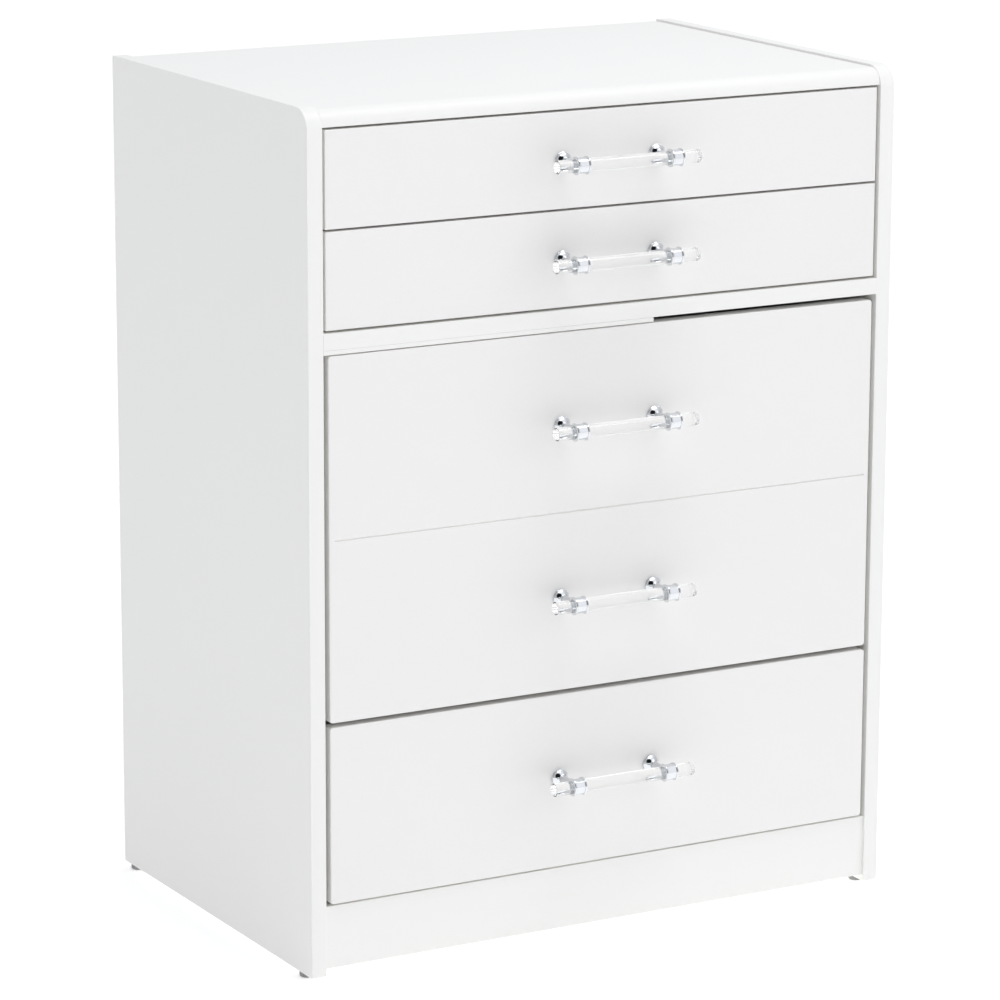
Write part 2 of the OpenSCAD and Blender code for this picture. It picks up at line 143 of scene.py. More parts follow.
def placeCamera():
    low, high = cadBox
    aim = (low + high) / 2 + Vector(studio["aimOffset"])
    camera = bpy.data.objects.new("camera", bpy.data.cameras.new("camera"))
    bpy.context.collection.objects.link(camera)
    camera.data.sensor_width = studio["sensor"]
    camera.data.lens = studio["lens"]
    camera.data.clip_end = studio["farthest"]
    outward = toward(studio["azimuth"], studio["elevation"])
    camera.location = aim + outward * studio["distance"]
    camera.rotation_mode = "QUATERNION"
    roll = Quaternion((0, 0, 1), math.radians(studio["roll"]))
    camera.rotation_quaternion = (-outward).to_track_quat("-Z", "Y") @ roll
    bpy.context.scene.camera = camera


def placeSoftBoxes():
    middle = (cadBox[0] + cadBox[1]) / 2
    for name, (place, size, watts) in softBoxes.items():
        lamp = bpy.data.lights.new(name, "AREA")
        lamp.shape = "RECTANGLE"
        lamp.size, lamp.size_y = size
        lamp.energy = watts
        box = bpy.data.objects.new(name, lamp)
        box.location = place
        box.rotation_mode = "QUATERNION"
        box.rotation_quaternion = (middle - Vector(place)).to_track_quat("-Z", "Y")
        bpy.context.collection.objects.link(box)


def paintSky():
    # White studio walls, dimmer at the sides and the back, with the unlit end of the room behind the camera
    world = bpy.data.worlds.new("studio")
    world.use_nodes = True
    tree = world.node_tree
    direction = addNode(tree, "TexCoord").outputs["Generated"]
    parts = addNode(tree, "SeparateXYZ", (), {"Vector": direction})
    fromLeft = addNode(tree, "MapRange", (), {
        "Value": parts.outputs["X"], "From Min": sky["leftFade"][0], "From Max": sky["leftFade"][1],
        "To Min": sky["leftShare"] * sky["strength"], "To Max": sky["strength"]})
    fromRight = addNode(tree, "MapRange", (), {
        "Value": parts.outputs["X"], "From Min": sky["rightFade"][0], "From Max": sky["rightFade"][1],
        "To Min": 1.0, "To Max": sky["rightShare"]})
    fromBack = addNode(tree, "MapRange", (), {
        "Value": parts.outputs["Y"], "From Min": sky["backFade"][0], "From Max": sky["backFade"][1],
        "To Min": 1.0, "To Max": sky["backShare"]})
    fromSides = addNode(tree, "Math", {"operation": "MULTIPLY"},
                        {0: fromLeft.outputs["Result"], 1: fromRight.outputs["Result"]})
    fromAround = addNode(tree, "Math", {"operation": "MULTIPLY"},
                         {0: fromSides.outputs["Value"], 1: fromBack.outputs["Result"]})
    facing = addNode(tree, "VectorMath", {"operation": "DOT_PRODUCT"},
                     {0: direction, 1: toward(studio["azimuth"], sky["darkElevation"])})
    lit = addNode(tree, "MapRange", {"interpolation_type": "SMOOTHSTEP"}, {
        "Value": facing.outputs["Value"],
        "From Min": math.cos(math.radians(sky["darkOuter"])),
        "From Max": math.cos(math.radians(sky["darkInner"])),
        "To Min": 1.0, "To Max": sky["darkShare"]})
    strength = addNode(tree, "Math", {"operation": "MULTIPLY"},
                       {0: lit.outputs["Result"], 1: fromAround.outputs["Value"]})
    seen = addNode(tree, "LightPath").outputs["Is Camera Ray"]
    # A Mix node's plain values are its inputs 2 and 3 and its output 0
    shown = addNode(tree, "Mix", {"data_type": "FLOAT"}, {
        "Factor": seen, 2: strength.outputs["Value"], 3: sky["seenStrength"]})
    background = tree.nodes["Background"]
    background.inputs["Color"].default_value = hexToLinear(sky["colour"])
    tree.links.new(shown.outputs[0], background.inputs["Strength"])
    scene = bpy.context.scene
    scene.world = world
    scene.view_settings.view_transform = "Standard"
    scene.cycles.max_bounces = sky["allBounces"]
    scene.cycles.transmission_bounces = sky["allBounces"]
    scene.cycles.diffuse_bounces = sky["diffuseBounces"]
    scene.cycles.glossy_bounces = sky["glossyBounces"]


def makeFloor():
    # Opal acrylic sheet lit faintly from below, as under a product on a light table: a plain pale ground
    bm = bmesh.new()
    bmesh.ops.create_grid(bm, x_segments=1, y_segments=1, size=floorSheet["size"] / 2)
    mesh = bpy.data.meshes.new("floor")
    bm.to_mesh(mesh)
    bm.free()
    floor = bpy.data.objects.new("floor", mesh)
    bpy.context.collection.objects.link(floor)
    opal, tree, shader, place = startMaterial("opalAcrylicSheet", {
        "Roughness": floorSheet["roughness"],
        "Emission Color": (1, 1, 1, 1), "Emission Strength": floorSheet["glow"]})
    cloud = addNode(tree, "TexNoise", (), {"Vector": place, "Scale": 1 / (floorSheet["patch"] * mm)})
    # A Mix node's colours are its inputs 6 and 7 and its output 2
    tone = addNode(tree, "Mix", {"data_type": "RGBA"}, {
        "Factor": cloud.outputs["Fac"],
        6: hexToLinear(floorSheet["colours"][0]), 7: hexToLinear(floorSheet["colours"][1])})
    tree.links.new(tone.outputs[2], shader.inputs["Base Color"])
    mesh.materials.append(opal)


placeCamera()
placeSoftBoxes()
paintSky()
makeFloor()
print("camera, sky, soft boxes and floor placed")

noiseReach = (0.3, 0.7)         # nearly all of a noise texture's values lie between these

melamine = {
    "colours": ("F4F4F1", "F6F6F3"),
    "drift": 300.0,             # mm across the slow change of tone
    "pearl": 1.3,               # mm across the press plate's pearl grain, drawn coarser than the real 0.6 mm
    "height": 0.012,            # mm from the grain's valleys to its tops
    "roughness": (0.38, 0.50),
}


def melamineFacedBoard():
    # Printed paper hot-pressed in melamine resin under a pearl-grained steel plate: an even satin white
    # whose highlights break up into a fine grain
    look = melamine
    material, tree, shader, place = startMaterial("melamineFacedBoard", {"IOR": 1.5})
    drift = addNode(tree, "TexNoise", (), {"Vector": place, "Scale": 1 / (look["drift"] * mm), "Detail": 2.0})
    tone = addNode(tree, "Mix", {"data_type": "RGBA"}, {
        "Factor": drift.outputs["Fac"],
        6: hexToLinear(look["colours"][0]), 7: hexToLinear(look["colours"][1])})
    pearl = addNode(tree, "TexNoise", (), {"Vector": place, "Scale": 1 / (look["pearl"] * mm), "Detail": 2.0})
    satin = addNode(tree, "MapRange", (), {
        "Value": pearl.outputs["Fac"], "From Min": noiseReach[0], "From Max": noiseReach[1],
        "To Min": look["roughness"][0], "To Max": look["roughness"][1]})
    grain = addNode(tree, "Bump", (), {
        "Height": pearl.outputs["Fac"], "Distance": look["height"] * mm, "Strength": 1.0})
    tree.links.new(tone.outputs[2], shader.inputs["Base Color"])
    tree.links.new(satin.outputs["Result"], shader.inputs["Roughness"])
    tree.links.new(grain.outputs["Normal"], shader.inputs["Normal"])
    return material


lacquer = {
    "colours": ("F1F0EE", "F4F3F1"),
    "drift": 220.0,             # mm across the slow change of tone
    "peel": 3.5,                # mm across a ripple of the sprayed film
    "peelHeight": 0.010,        # mm
    "dust": 0.9,                # mm between the finest specks of overspray
    "roughness": (0.27, 0.35),
}


def sprayedLacquer():
    # White lacquer sprayed on sanded fibreboard: smooth and semi-gloss, with the soft ripple called
    # orange peel
    look = lacquer
    material, tree, shader, place = startMaterial("sprayedWhiteLacquer", {
        "IOR": 1.5, "Coat Weight": 0.15, "Coat Roughness": 0.18})
    drift = addNode(tree, "TexNoise", (), {"Vector": place, "Scale": 1 / (look["drift"] * mm), "Detail": 2.0})
    tone = addNode(tree, "Mix", {"data_type": "RGBA"}, {
        "Factor": drift.outputs["Fac"],
        6: hexToLinear(look["colours"][0]), 7: hexToLinear(look["colours"][1])})
    dust = addNode(tree, "TexNoise", (), {"Vector": place, "Scale": 1 / (look["dust"] * mm), "Detail": 1.0})
    gloss = addNode(tree, "MapRange", (), {
        "Value": dust.outputs["Fac"], "From Min": noiseReach[0], "From Max": noiseReach[1],
        "To Min": look["roughness"][0], "To Max": look["roughness"][1]})
    peel = addNode(tree, "TexNoise", (), {"Vector": place, "Scale": 1 / (look["peel"] * mm), "Detail": 0.0})
    ripple = addNode(tree, "Bump", (), {
        "Height": peel.outputs["Fac"], "Distance": look["peelHeight"] * mm, "Strength": 1.0})
    tree.links.new(tone.outputs[2], shader.inputs["Base Color"])
    tree.links.new(gloss.outputs["Result"], shader.inputs["Roughness"])
    tree.links.new(ripple.outputs["Normal"], shader.inputs["Normal"])
    return material


hardboard = {
    "colours": ("DFDEDA", "E6E5E1"),
    "fibre": 2.2,               # mm across the fibres' mottling
    "screen": 1.8,              # mm between the wires of the pressing screen, as on the sheet's rough face
    "height": 0.03,             # mm
    "relief": 0.6,              # share of that height that shows through the foil
    "roughness": 0.58,
}


def foiledHardboard():
    # Hot-pressed wood fibre under white paper foil: matt, with the weave of the pressing screen showing
    # through
    look = hardboard
    material, tree, shader, place = startMaterial("foiledHardboard", {
        "IOR": 1.48, "Roughness": look["roughness"]})
    fibre = addNode(tree, "TexNoise", (), {"Vector": place, "Scale": 1 / (look["fibre"] * mm), "Detail": 3.0})
    tone = addNode(tree, "Mix", {"data_type": "RGBA"}, {
        "Factor": fibre.outputs["Fac"],
        6: hexToLinear(look["colours"][0]), 7: hexToLinear(look["colours"][1])})
    # A wave texture makes one wave in 2 pi / 20 of a unit at scale 1
    waveScale = 2 * math.pi / 20 / (look["screen"] * mm)
    warp = addNode(tree, "TexWave", {"bands_direction": "X"}, {"Vector": place, "Scale": waveScale})
    weft = addNode(tree, "TexWave", {"bands_direction": "Z"}, {"Vector": place, "Scale": waveScale})
    weave = addNode(tree, "Math", {"operation": "MULTIPLY"}, {0: warp.outputs["Fac"], 1: weft.outputs["Fac"]})
    pressed = addNode(tree, "Bump", (), {
        "Height": weave.outputs["Value"], "Distance": look["height"] * mm, "Strength": look["relief"]})
    tree.links.new(tone.outputs[2], shader.inputs["Base Color"])
    tree.links.new(pressed.outputs["Normal"], shader.inputs["Normal"])
    return material


acrylic = {
    "colour": "FEFEFD",
    "polish": 6.0,              # mm between the faint buffing marks along the rod
    "ringing": 0.8,             # mm between them round the rod
    "marks": (0.45, 0.8),       # noise values from a clear patch to the middle of a mark
    "roughness": (0.0, 0.03),
}


def polishedAcrylic():
    # Clear cast acrylic rod, cut and buffed: colourless, bending what stands behind it, with one bright
    # line of light
    look = acrylic
    material, tree, shader, place = startMaterial("polishedAcrylicRod", {
        "Base Color": hexToLinear(look["colour"]), "IOR": 1.49, "Transmission Weight": 1.0})
    along, across = 1 / (look["polish"] * mm), 1 / (look["ringing"] * mm)
    rodward = addNode(tree, "Mapping", (), {"Vector": place, "Scale": (along, across, across)})
    buffing = addNode(tree, "TexNoise", (), {
        "Vector": rodward.outputs["Vector"], "Scale": 1.0, "Detail": 2.0})
    haze = addNode(tree, "MapRange", (), {
        "Value": buffing.outputs["Fac"], "From Min": look["marks"][0], "From Max": look["marks"][1],
        "To Min": look["roughness"][0], "To Max": look["roughness"][1]})
    tree.links.new(haze.outputs["Result"], shader.inputs["Roughness"])
    return material


chrome = {
    "colours": ("D9DBDE", "E2E4E6"),
    "cloud": 5.0,               # mm across the polished zinc's faint waviness under the plate
    "height": 0.004,            # mm
    "roughness": (0.03, 0.07),
}


def brightChromePlate():
    # Die-cast zinc, polished and chrome-plated: a cool mirror, slightly wavy where the casting was buffed
    look = chrome
    material, tree, shader, place = startMaterial("brightChromePlate", {"Metallic": 1.0})
    cloud = addNode(tree, "TexNoise", (), {"Vector": place, "Scale": 1 / (look["cloud"] * mm), "Detail": 2.0})
    tone = addNode(tree, "Mix", {"data_type": "RGBA"}, {
        "Factor": cloud.outputs["Fac"],
        6: hexToLinear(look["colours"][0]), 7: hexToLinear(look["colours"][1])})
    mirror = addNode(tree, "MapRange", (), {
        "Value": cloud.outputs["Fac"], "From Min": noiseReach[0], "From Max": noiseReach[1],
        "To Min": look["roughness"][0], "To Max": look["roughness"][1]})
    waviness = addNode(tree, "Bump", (), {
        "Height": cloud.outputs["Fac"], "Distance": look["height"] * mm, "Strength": 1.0})
    tree.links.new(tone.outputs[2], shader.inputs["Base Color"])
    tree.links.new(mirror.outputs["Result"], shader.inputs["Roughness"])
    tree.links.new(waviness.outputs["Normal"], shader.inputs["Normal"])
    return material


zincSteel = {
    "colours": ("AEB2B8", "C6C9CD"),
    "streak": 0.8,              # mm between rolling streaks, drawn coarser than the real 0.1 mm
    "streakLength": 60.0,       # mm
    "height": 0.01,             # mm
    "relief": 0.7,              # share of that height left under the zinc
    "roughness": (0.24, 0.40),
}


def zincPlatedSteel():
    # Cold-rolled strip, pressed and bright zinc-plated: cool grey, with streaks along the rolling direction
    look = zincSteel
    material, tree, shader, place = startMaterial("zincPlatedRolledSteel", {"Metallic": 1.0})
    across, along = 1 / (look["streak"] * mm), 1 / (look["streakLength"] * mm)
    drawn = addNode(tree, "Mapping", (), {"Vector": place, "Scale": (across, along, across)})
    streaks = addNode(tree, "TexNoise", (), {"Vector": drawn.outputs["Vector"], "Scale": 1.0, "Detail": 3.0})
    tone = addNode(tree, "Mix", {"data_type": "RGBA"}, {
        "Factor": streaks.outputs["Fac"],
        6: hexToLinear(look["colours"][0]), 7: hexToLinear(look["colours"][1])})
    sheen = addNode(tree, "MapRange", (), {
        "Value": streaks.outputs["Fac"], "From Min": noiseReach[0], "From Max": noiseReach[1],
        "To Min": look["roughness"][0], "To Max": look["roughness"][1]})
    rolled = addNode(tree, "Bump", (), {
        "Height": streaks.outputs["Fac"], "Distance": look["height"] * mm, "Strength": look["relief"]})
    tree.links.new(tone.outputs[2], shader.inputs["Base Color"])
    tree.links.new(sheen.outputs["Result"], shader.inputs["Roughness"])
    tree.links.new(rolled.outputs["Normal"], shader.inputs["Normal"])
    return material


castZinc = {
    "colours": ("9A9C9F", "AFB1B3"),
    "grain": 0.7,               # mm across the cast skin's grain
    "height": 0.02,             # mm
    "relief": 0.8,              # share of that height left by the tumbling
    "roughness": (0.42, 0.58),
}


def tumbledCastZinc():
    # Die-cast zinc left as tumbled: dull grey with a fine stony skin
    look = castZinc
    material, tree, shader, place = startMaterial("tumbledCastZinc", {"Metallic": 1.0})
    skin = addNode(tree, "TexNoise", (), {"Vector": place, "Scale": 1 / (look["grain"] * mm), "Detail": 3.0})
    tone = addNode(tree, "Mix", {"data_type": "RGBA"}, {
        "Factor": skin.outputs["Fac"],
        6: hexToLinear(look["colours"][0]), 7: hexToLinear(look["colours"][1])})
    dull = addNode(tree, "MapRange", (), {
        "Value": skin.outputs["Fac"], "From Min": noiseReach[0], "From Max": noiseReach[1],
        "To Min": look["roughness"][0], "To Max": look["roughness"][1]})
    stony = addNode(tree, "Bump", (), {
        "Height": skin.outputs["Fac"], "Distance": look["height"] * mm, "Strength": look["relief"]})
    tree.links.new(tone.outputs[2], shader.inputs["Base Color"])
    tree.links.new(dull.outputs["Result"], shader.inputs["Roughness"])
    tree.links.new(stony.outputs["Normal"], shader.inputs["Normal"])
    return material


polyethylene = {
    "colours": ("8B8D8F", "959799"),
    "spark": 0.6,               # mm across the mould's spark-eroded texture
    "cell": (0.0, 0.9),         # from a pit's middle to its rim, in widths of the texture
    "height": 0.03,             # mm
    "relief": 0.6,              # share of that height that the plastic takes from the mould
    "roughness": (0.48, 0.60),
}


def mouldedPolyethylene():
    # Injection-moulded polyethylene: a waxy mid grey with the mould's even spark texture
    look = polyethylene
    material, tree, shader, place = startMaterial("mouldedPolyethylene", {"IOR": 1.51})
    spark = addNode(tree, "TexVoronoi", (), {"Vector": place, "Scale": 1 / (look["spark"] * mm)})
    tone = addNode(tree, "Mix", {"data_type": "RGBA"}, {
        "Factor": spark.outputs["Distance"],
        6: hexToLinear(look["colours"][0]), 7: hexToLinear(look["colours"][1])})
    waxy = addNode(tree, "MapRange", (), {
        "Value": spark.outputs["Distance"], "From Min": look["cell"][0], "From Max": look["cell"][1],
        "To Min": look["roughness"][0], "To Max": look["roughness"][1]})
    texture = addNode(tree, "Bump", (), {
        "Height": spark.outputs["Distance"], "Distance": look["height"] * mm, "Strength": look["relief"]})
    tree.links.new(tone.outputs[2], shader.inputs["Base Color"])
    tree.links.new(waxy.outputs["Result"], shader.inputs["Roughness"])
    tree.links.new(texture.outputs["Normal"], shader.inputs["Normal"])
    return material


beech = {
    "colours": ("C59B6A", "DDBD92"),
    "fleck": 1.2,               # mm across a fleck
    "fleckLength": 6.0,         # mm along the dowel
    "height": 0.05,             # mm from a pore's floor to the wood round it
    "relief": 0.7,              # share of that height left open
    "roughness": 0.62,
}


def turnedBeech():
    # Plain beech rod: pale pinkish brown with short dark flecks along the grain
    look = beech
    material, tree, shader, place = startMaterial("turnedBeech", {"IOR": 1.5, "Roughness": look["roughness"]})
    across, along = 1 / (look["fleck"] * mm), 1 / (look["fleckLength"] * mm)
    grainward = addNode(tree, "Mapping", (), {"Vector": place, "Scale": (along, across, across)})
    flecks = addNode(tree, "TexNoise", (), {
        "Vector": grainward.outputs["Vector"], "Scale": 1.0, "Detail": 4.0})
    tone = addNode(tree, "Mix", {"data_type": "RGBA"}, {
        "Factor": flecks.outputs["Fac"],
        6: hexToLinear(look["colours"][0]), 7: hexToLinear(look["colours"][1])})
    pores = addNode(tree, "Bump", (), {
        "Height": flecks.outputs["Fac"], "Distance": look["height"] * mm, "Strength": look["relief"]})
    tree.links.new(tone.outputs[2], shader.inputs["Base Color"])
    tree.links.new(pores.outputs["Normal"], shader.inputs["Normal"])
    return material


finishes = {                    # record slot: material
    "white_board": melamineFacedBoard(),
    "white_front": sprayedLacquer(),
    "base_sheet": foiledHardboard(),
    "clear_acrylic": polishedAcrylic(),
    "chrome": brightChromePlate(),
    "zinc_steel": zincPlatedSteel(),
    "grey_plastic": mouldedPolyethylene(),
    "beech": turnedBeech(),
}
camFinish = tumbledCastZinc()
print("materials mixed:", len(finishes) + 1)

shaping = {
    "mergeGap": 0.001 * mm,     # points closer than this are one
    "flatAngle": 0.5,           # degrees between faces, below which they are one flat
    "sharpAngle": 28.0,         # degrees between faces, past which an edge is drawn or rounded as an edge
    "roundSteps": 3,            # flats in a rounded edge
    "slack": 0.1 * mm,          # how far a point may lie from a board's rim and still be on it
}


def isSharp(edge):
    return len(edge.link_faces) == 2 and edge.calc_face_angle() > math.radians(shaping["sharpAngle"])


def placePiece(name, shape, slot, body, stands, material=None):
    for face in shape.faces:
        face.smooth = True
    for edge in shape.edges:
        edge.smooth = not isSharp(edge)
    mesh = bpy.data.meshes.new(name)
    shape.to_mesh(mesh)
    shape.free()
    mesh.materials.append(material or finishes[slot])
    piece = bpy.data.objects.new(name, mesh)
    bpy.context.collection.objects.link(piece)
    flats = piece.modifiers.new("flatsStayFlat", "WEIGHTED_NORMAL")
    flats.keep_sharp = True
    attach(piece, body)
    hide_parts(*stands)
    return piece


def roundEdges(shape, edges, radius):
    bmesh.ops.bevel(shape, geom=list(edges), offset=radius, offset_type="OFFSET", affect="EDGES",
                    segments=shaping["roundSteps"], profile=0.5, clamp_overlap=True, material=-1)


def mergedCopy(node):
    copied = nodes[node].data.copy()
    if "custom_normal" in copied.attributes:
        copied.attributes.remove(copied.attributes["custom_normal"])
    shape = bmesh.new()
    shape.from_mesh(copied)
    bpy.data.meshes.remove(copied)
    bmesh.ops.remove_doubles(shape, verts=shape.verts, dist=shaping["mergeGap"])
    bmesh.ops.dissolve_limit(shape, angle_limit=math.radians(shaping["flatAngle"]),
                             verts=shape.verts, edges=shape.edges)
    return shape


easing = {                      # mm that a board's outer edges are rounded by
    "cabinet": 0.6,             # edge-banded melamine board
    "strip": 0.3,               # the narrow strip under the shelf
    "shallowFront": 0.8,
    "lowerFront": 1.2,
    "box": 0.8,                 # drawer sides and backs
    "sheet": 0.3,               # drawer bases and the back panel
}
panelCornerRadius = 20 * mm     # front top corner of the side panels
frontCornerRadius = 3 * mm      # corners of the lower fronts


def easedBoard(node, ease, slot, cornerRadius=0.0, buttsAtSides=False):
    # Rounds a board's outer edges and leaves its grooves and holes sharp
    low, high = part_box(node)
    size, middle = high - low, (low + high) / 2
    thin = min(range(3), key=lambda i: size[i])
    wide = [i for i in range(3) if i != thin]
    slack, fine = shaping["slack"], shaping["slack"] / 10

    def onRim(point):
        reach = [abs(point[i] - middle[i]) - size[i] / 2 for i in wide]
        if max(reach) > -fine:
            return True
        inCorner = [r + cornerRadius for r in reach]
        return min(inCorner) > 0 and math.hypot(*inCorner) > cornerRadius - slack

    def isOuter(face):
        heights = [vert.co[thin] for vert in face.verts]
        if max(heights) < low[thin] + fine or min(heights) > high[thin] - fine:
            return True
        return all(onRim(vert.co) for vert in face.verts)

    def butts(edge):
        return buttsAtSides and any(
            all(abs(vert.co.x - end) < slack for vert in edge.verts) for end in (low.x, high.x))

    board = mergedCopy(node)
    outline = [edge for edge in board.edges
               if isSharp(edge) and edge.is_convex and all(isOuter(face) for face in edge.link_faces)
               and not butts(edge)]
    roundEdges(board, outline, ease * mm)
    return placePiece(node + "_eased", board, slot, bodyOf[node], [node])


for side in ("left_side_panel", "right_side_panel"):
    easedBoard(side, easing["cabinet"], "white_board", cornerRadius=panelCornerRadius)
easedBoard("top_panel", easing["cabinet"], "white_board")
for board in ("fixed_shelf", "bottom_panel", "plinth_board"):
    easedBoard(board, easing["cabinet"], "white_board", buttsAtSides=True)
easedBoard("stop_strip", easing["strip"], "white_board", buttsAtSides=True)
easedBoard("back_panel", easing["sheet"], "base_sheet")
for drawer in drawerNames:
    shallow = drawer in ("top_drawer", "second_drawer")
    easedBoard(drawer + "_front", easing["shallowFront" if shallow else "lowerFront"], "white_front",
               cornerRadius=0.0 if shallow else frontCornerRadius)
    for board in ("left_side", "right_side", "back"):
        easedBoard(drawer + "_" + board, easing["box"], "white_board")
    easedBoard(drawer + "_base", easing["sheet"], "base_sheet")
print("boards eased")


def addLathed(shape, outline, segments, place, rounding, closed=False):
    # The outline is radius and height pairs in mm, spun about Z; place moves the result to where it belongs
    lathed = bmesh.new()
    points = [lathed.verts.new((radius * mm, 0, height * mm)) for radius, height in outline]
    pairs = list(zip(points, points[1:])) + ([(points[-1], points[0])] if closed else [])
    lines = [lathed.edges.new(pair) for pair in pairs]
    bmesh.ops.spin(lathed, geom=points + lines, cent=(0, 0, 0), axis=(0, 0, 1),
                   angle=2 * math.pi, steps=segments, use_merge=True)
    bmesh.ops.remove_doubles(lathed, verts=lathed.verts, dist=shaping["mergeGap"])
    bmesh.ops.recalc_face_normals(lathed, faces=lathed.faces)
    if rounding:
        roundEdges(lathed, [edge for edge in lathed.edges if isSharp(edge)], rounding * mm)
    addCopy(shape, lathed, place)
    lathed.free()


def addCopy(shape, part, place):
    carrier = bpy.data.meshes.new("carrier")
    part.to_mesh(carrier)
    carrier.transform(place)
    shape.from_mesh(carrier)
    bpy.data.meshes.remove(carrier)


def carve(part, cutter):
    # Part less cutter, as a new bmesh
    made = []
    for name, source in (("part", part), ("cutter", cutter)):
        mesh = bpy.data.meshes.new(name)
        source.to_mesh(mesh)
        source.free()
        made.append(bpy.data.objects.new(name, mesh))
        bpy.context.collection.objects.link(made[-1])
    cut = made[0].modifiers.new("cut", "BOOLEAN")
    cut.operation, cut.solver, cut.object = "DIFFERENCE", "EXACT", made[1]
    bpy.context.view_layer.update()
    carved = bmesh.new()
    carved.from_object(made[0], bpy.context.evaluated_depsgraph_get())
    for thing in made:
        mesh = thing.data
        bpy.data.objects.remove(thing)
        bpy.data.meshes.remove(mesh)
    return carved


def crossCutter(width, span, top, deep):
    # A plus-shaped block that reaches deep above and below height top; its arms grow out of a square core
    cross = bmesh.new()
    bmesh.ops.create_cube(cross, size=width * mm)
    bmesh.ops.scale(cross, vec=(1, 1, 2 * deep / width), verts=cross.verts)
    bmesh.ops.translate(cross, vec=(0, 0, top * mm), verts=cross.verts)
    flanks = [face for face in cross.faces if round(face.normal.z) == 0]    # its four upright sides
    arms = bmesh.ops.extrude_discrete_faces(cross, faces=flanks)["faces"]
    for face in arms:
        bmesh.ops.translate(cross, vec=face.normal * (span - width) / 2 * mm, verts=face.verts)
    return cross


pull = {                        # mm, measured from the drawer front's face and from the rod's axis
    "baseRadius": 8.25,
    "baseRim": 1.5,
    "domeRadius": 7.75,
    "domeHeight": 4.5,
    "domeSteps": 10,
    "postRadius": 3.5,
    "postEnd": 6.15,            # from the rod's axis, inside the collar's wall
    "screwHoleRadius": 2.05,
    "screwHoleDepth": 8.3,
    "drillPoint": 1.0,          # of the cone at the hole's end
    "boreRadius": 6.05,
    "collarRadius": 7.2,
    "beadRadius": 1.0,          # of the round bead at each end of the collar
    "beadSteps": 10,
    "collarHalf": 6.3,
    "rounding": 0.35,
    "rodRounding": 0.7,
    "segments": 72,
}


def postOutline(reach):
    sphere = (pull["domeRadius"] ** 2 + pull["domeHeight"] ** 2) / (2 * pull["domeHeight"])
    sphereMiddle = pull["baseRim"] + pull["domeHeight"] - sphere
    first = math.asin(pull["domeRadius"] / sphere)
    last = math.asin(pull["postRadius"] / sphere)
    dome = []
    for step in range(pull["domeSteps"] + 1):
        angle = first + (last - first) * step / pull["domeSteps"]
        dome.append((sphere * math.sin(angle), sphereMiddle + sphere * math.cos(angle)))
    hole, deep, base = pull["screwHoleRadius"], pull["screwHoleDepth"], pull["baseRadius"]
    end = reach - pull["postEnd"]
    return ([(0, deep + pull["drillPoint"]), (hole, deep), (hole, 0), (base, 0), (base, pull["baseRim"])]
            + dome + [(pull["postRadius"], end), (0, end)])


def collarOutline(outerRadius):
    half, bead, steps = pull["collarHalf"], pull["beadRadius"], pull["beadSteps"]
    rightHalf = [(pull["collarRadius"], half - 2 * bead)]
    for step in range(steps + 1):
        angle = math.pi * (step / steps - 0.5)
        rightHalf.append((outerRadius - bead + bead * math.cos(angle), half - bead + bead * math.sin(angle)))
    rightHalf.append((pull["boreRadius"], half))
    return rightHalf + [(radius, -height) for radius, height in reversed(rightHalf)]


def pullHeights(low, high, radius):
    # One height for a single pull and two for a pair, to a tenth of a millimetre
    return sorted({round(low.z + radius, 4), round(high.z - radius, 4)})


def makePulls(drawer):
    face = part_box(drawer + "_front")[0].y
    rodLow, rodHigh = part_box(drawer + "_pull_rod")
    postLow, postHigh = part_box(drawer + "_pull_posts")
    rodRadius, rodY = (rodHigh.y - rodLow.y) / 2, (rodHigh.y + rodLow.y) / 2
    reach = face - rodY
    postX = postHigh.x - pull["baseRadius"] * mm
    outward = Matrix.Rotation(math.pi / 2, 4, "X")      # turns Z to point out of the drawer front
    sideways = Matrix.Rotation(math.pi / 2, 4, "Y")     # turns Z to point right
    posts, rods = bmesh.new(), bmesh.new()
    for z in pullHeights(rodLow, rodHigh, rodRadius):
        for x in (-postX, postX):
            addLathed(posts, postOutline(reach / mm), pull["segments"],
                      Matrix.Translation((x, face, z)) @ outward, pull["rounding"])
            addLathed(posts, collarOutline((rodY - postLow.y) / mm), pull["segments"],
                      Matrix.Translation((x, rodY, z)) @ sideways, pull["rounding"], closed=True)
        radius, half = rodRadius / mm, (rodHigh.x - rodLow.x) / 2 / mm
        addLathed(rods, [(0, -half), (radius, -half), (radius, half), (0, half)], pull["segments"],
                  Matrix.Translation((0, rodY, z)) @ sideways, pull["rodRounding"])
    placePiece(drawer + "_pull_posts_turned", posts, "chrome", drawer, [drawer + "_pull_posts"])
    placePiece(drawer + "_pull_rod_polished", rods, "clear_acrylic", drawer, [drawer + "_pull_rod"])


for drawer in drawerNames:
    makePulls(drawer)
print("pulls turned")

pullScrew = {                   # mm
    "headRadius": 4.0, "headHeight": 2.6, "shankRadius": 2.0,
    "slotWidth": 1.0, "slotSpan": 4.4, "slotDepth": 1.5, "segments": 32,
}
runnerScrew = {
    "headRadius": 3.5, "headHeight": 1.4, "shankRadius": 1.7, "shankLength": 10.0, "tip": 2.5,
    "slotWidth": 0.9, "slotSpan": 3.6, "slotDepth": 0.9, "segments": 24,
}


# A pan head's bend from rim to crown, in shares of its radius and of its height
panHead = [(1.0, 0.35), (0.93, 0.68), (0.72, 0.92), (0.4, 1.0)]
tipShare = 0.25                 # a pointed screw's end, as a share of its shank's radius


